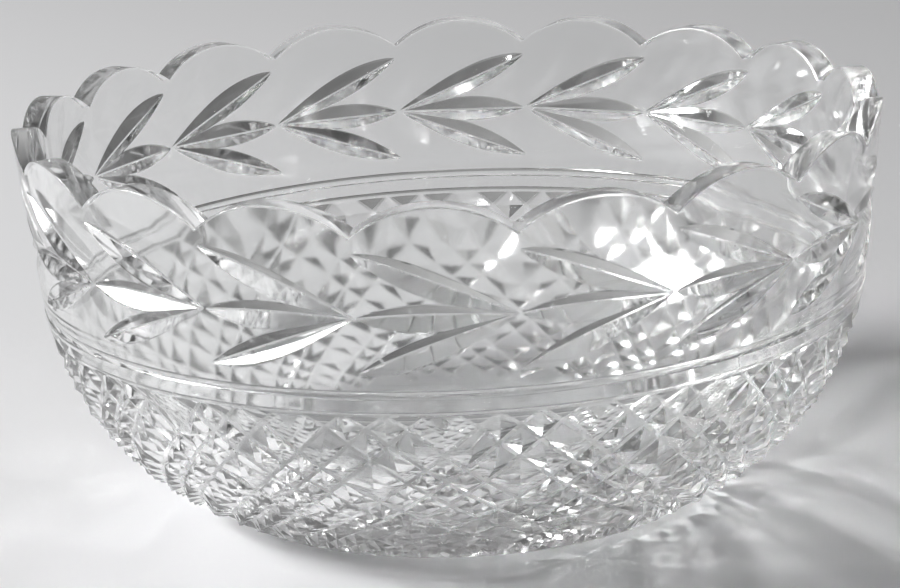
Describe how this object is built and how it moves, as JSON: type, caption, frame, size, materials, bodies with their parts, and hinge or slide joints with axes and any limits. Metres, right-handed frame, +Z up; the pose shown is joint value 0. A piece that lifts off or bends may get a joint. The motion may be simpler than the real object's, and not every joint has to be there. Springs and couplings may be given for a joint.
{
  "type": "salad bowl",
  "caption": "Round cut-glass salad bowl with a scalloped rim, a wreath of leaf sprays, ring grooves and a diamond-cut lower body; open on top, it rests on a flat base.",
  "frame": {"origin": "centre of the flat base, on the plane that the bowl stands on", "axes": "+Z up along the bowl's axis towards its mouth; +X through a cusp of the scalloped rim"},
  "size_m": [0.228, 0.229, 0.1055],
  "materials": {
    "glass": "polished"
  },
  "bodies": {
    "root": {"bowl": "glass"}
  },
  "joints": []
}
